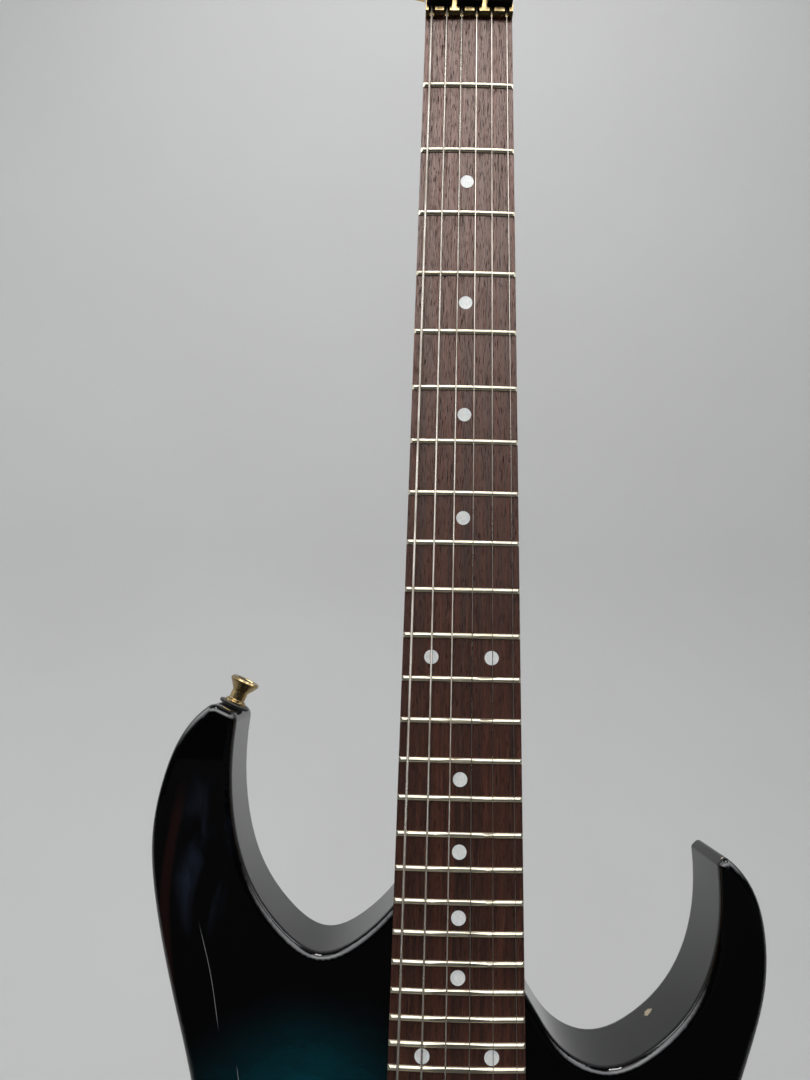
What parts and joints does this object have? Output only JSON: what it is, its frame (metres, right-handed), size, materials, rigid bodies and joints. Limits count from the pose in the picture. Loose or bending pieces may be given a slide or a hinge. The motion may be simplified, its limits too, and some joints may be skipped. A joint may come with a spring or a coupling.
{
  "type": "electric guitar",
  "caption": "Double-cutaway solid-body electric guitar with bolt-on neck, locking nut, floating tremolo, in-line tuners, knobs and selector lever.",
  "frame": {"origin": "seat of the end strap button, at the bottom end of the body, on the centreline and at mid thickness", "axes": "+Z along the neck towards the headstock, -Y out of the face of the body, +X towards the thin strings"},
  "size_m": [0.3193, 0.0986, 1.0254],
  "materials": {
    "lacquer_body": "gloss black lacquer over wood",
    "lacquer_top": "deep teal burst under gloss lacquer, black at the edges",
    "maple": "satin maple",
    "rosewood": "open-grained rosewood, oiled",
    "fret_wire": "polished nickel silver",
    "pearl": "white pearloid",
    "steel": "plain steel rod",
    "black_plastic": "black moulded plastic",
    "gold": "gold plated, lightly worn",
    "black_metal": "black oxide steel",
    "felt": "black felt",
    "zinc": "zinc plated steel",
    "string_steel": "steel, the three thick ones wound"
  },
  "bodies": {
    "guitar": {"body_core": "lacquer_body", "top_cap": "lacquer_top", "neck": "maple", "fretboard": "rosewood", "frets": "fret_wire", "position_dots": "pearl", "truss_rod": "steel", "truss_rod_cover": "black_plastic", "single_coil_cover": "black_plastic", "humbucker_bobbins": "black_plastic", "control_cover": "black_plastic", "trem_cover": "black_plastic", "nut_base": "gold", "tuner_bushings": "gold", "neck_plate": "gold", "strap_buttons": "gold", "trem_studs": "gold", "output_jack": "gold", "tuner_housings": "gold", "string_retainer": "gold", "nut_clamps": "black_metal", "nut_screws": "black_metal", "small_screws": "black_metal", "large_screws": "black_metal", "strap_washers": "felt", "trem_springs": "zinc", "spring_claw": "zinc", "pots": "zinc", "selector_switch": "zinc", "pickup_baseplates": "zinc", "pickup_poles": "zinc", "strings": "string_steel"},
    "tremolo": {"trem_base_plate": "gold", "trem_block": "zinc", "saddles": "gold", "string_clamp_blocks": "black_metal", "saddle_screws": "gold", "arm_socket": "gold"},
    "arm": {"trem_arm": "gold"},
    "volume": {"volume_knob": "gold"},
    "tone": {"tone_knob": "gold"},
    "selector": {"selector_lever": "black_plastic"},
    "button_1": {"tuner_button_1": "gold"},
    "post_1": {"tuner_post_1": "gold"},
    "fine_1": {"fine_tuner_1": "gold"},
    "button_2": {"tuner_button_2": "gold"},
    "post_2": {"tuner_post_2": "gold"},
    "fine_2": {"fine_tuner_2": "gold"},
    "button_3": {"tuner_button_3": "gold"},
    "post_3": {"tuner_post_3": "gold"},
    "fine_3": {"fine_tuner_3": "gold"},
    "button_4": {"tuner_button_4": "gold"},
    "post_4": {"tuner_post_4": "gold"},
    "fine_4": {"fine_tuner_4": "gold"},
    "button_5": {"tuner_button_5": "gold"},
    "post_5": {"tuner_post_5": "gold"},
    "fine_5": {"fine_tuner_5": "gold"},
    "button_6": {"tuner_button_6": "gold"},
    "post_6": {"tuner_post_6": "gold"},
    "fine_6": {"fine_tuner_6": "gold"}
  },
  "joints": [
    {"name": "tremolo_pivot", "type": "hinge", "parent": "guitar", "child": "tremolo", "pos_m": [0, -0.0235, 0.169], "axis": [1, 0, 0], "range_deg": [-10, 5], "deforming": ["strings", "trem_springs"]},
    {"name": "arm_swivel", "type": "hinge", "parent": "tremolo", "child": "arm", "pos_m": [0.04, -0.025, 0.13], "axis": [0, -1, 0], "range_deg": [-70, 55]},
    {"name": "volume_turn", "type": "hinge", "parent": "guitar", "child": "volume", "pos_m": [0.078, -0.02, 0.178], "axis": [0, -1, 0], "range_deg": [-150, 150]},
    {"name": "tone_turn", "type": "hinge", "parent": "guitar", "child": "tone", "pos_m": [0.092, -0.02, 0.132], "axis": [0, -1, 0], "range_deg": [-150, 150]},
    {"name": "selector_tilt", "type": "hinge", "parent": "guitar", "child": "selector", "pos_m": [0.112, -0.006, 0.164], "axis": [1, 0, 0], "range_deg": [-17, 17]},
    {"name": "button_1_turn", "type": "hinge", "parent": "guitar", "child": "button_1", "pos_m": [-0.04258, 0.00284, 0.85426], "axis": [-0.9573, 0.065, 0.2817], "continuous": true},
    {"name": "post_1_turn", "type": "hinge", "parent": "guitar", "child": "post_1", "pos_m": [-0.0215, -0.01455, 0.85892], "axis": [0, -0.9744, 0.225], "continuous": true},
    {"name": "fine_1_turn", "type": "hinge", "parent": "tremolo", "child": "fine_1", "pos_m": [-0.027, -0.039, 0.099], "axis": [0, -0.9397, -0.342], "range_deg": [-90, 90]},
    {"name": "button_2_turn", "type": "hinge", "parent": "guitar", "child": "button_2", "pos_m": [-0.03518, 0.00836, 0.87813], "axis": [-0.9573, 0.065, 0.2817], "continuous": true},
    {"name": "post_2_turn", "type": "hinge", "parent": "guitar", "child": "post_2", "pos_m": [-0.0141, -0.00904, 0.8828], "axis": [0, -0.9744, 0.225], "continuous": true},
    {"name": "fine_2_turn", "type": "hinge", "parent": "tremolo", "child": "fine_2", "pos_m": [-0.0162, -0.039, 0.099], "axis": [0, -0.9397, -0.342], "range_deg": [-90, 90]},
    {"name": "button_3_turn", "type": "hinge", "parent": "guitar", "child": "button_3", "pos_m": [-0.02778, 0.01387, 0.902], "axis": [-0.9573, 0.065, 0.2817], "continuous": true},
    {"name": "post_3_turn", "type": "hinge", "parent": "guitar", "child": "post_3", "pos_m": [-0.0067, -0.00353, 0.90667], "axis": [0, -0.9744, 0.225], "continuous": true},
    {"name": "fine_3_turn", "type": "hinge", "parent": "tremolo", "child": "fine_3", "pos_m": [-0.0054, -0.039, 0.099], "axis": [0, -0.9397, -0.342], "range_deg": [-90, 90]},
    {"name": "button_4_turn", "type": "hinge", "parent": "guitar", "child": "button_4", "pos_m": [-0.02038, 0.01938, 0.92588], "axis": [-0.9573, 0.065, 0.2817], "continuous": true},
    {"name": "post_4_turn", "type": "hinge", "parent": "guitar", "child": "post_4", "pos_m": [0.0007, 0.00198, 0.93054], "axis": [0, -0.9744, 0.225], "continuous": true},
    {"name": "fine_4_turn", "type": "hinge", "parent": "tremolo", "child": "fine_4", "pos_m": [0.0054, -0.039, 0.099], "axis": [0, -0.9397, -0.342], "range_deg": [-90, 90]},
    {"name": "button_5_turn", "type": "hinge", "parent": "guitar", "child": "button_5", "pos_m": [-0.01298, 0.02489, 0.94975], "axis": [-0.9573, 0.065, 0.2817], "continuous": true},
    {"name": "post_5_turn", "type": "hinge", "parent": "guitar", "child": "post_5", "pos_m": [0.0081, 0.00749, 0.95441], "axis": [0, -0.9744, 0.225], "continuous": true},
    {"name": "fine_5_turn", "type": "hinge", "parent": "tremolo", "child": "fine_5", "pos_m": [0.0162, -0.039, 0.099], "axis": [0, -0.9397, -0.342], "range_deg": [-90, 90]},
    {"name": "button_6_turn", "type": "hinge", "parent": "guitar", "child": "button_6", "pos_m": [-0.00558, 0.0304, 0.97362], "axis": [-0.9573, 0.065, 0.2817], "continuous": true},
    {"name": "post_6_turn", "type": "hinge", "parent": "guitar", "child": "post_6", "pos_m": [0.0155, 0.013, 0.97828], "axis": [0, -0.9744, 0.225], "continuous": true},
    {"name": "fine_6_turn", "type": "hinge", "parent": "tremolo", "child": "fine_6", "pos_m": [0.027, -0.039, 0.099], "axis": [0, -0.9397, -0.342], "range_deg": [-90, 90]}
  ],
  "couplings": [
    {"joint": "post_1_turn", "follows": "button_1_turn", "ratio": 0.066667},
    {"joint": "post_2_turn", "follows": "button_2_turn", "ratio": 0.066667},
    {"joint": "post_3_turn", "follows": "button_3_turn", "ratio": 0.066667},
    {"joint": "post_4_turn", "follows": "button_4_turn", "ratio": 0.066667},
    {"joint": "post_5_turn", "follows": "button_5_turn", "ratio": 0.066667},
    {"joint": "post_6_turn", "follows": "button_6_turn", "ratio": 0.066667}
  ]
}
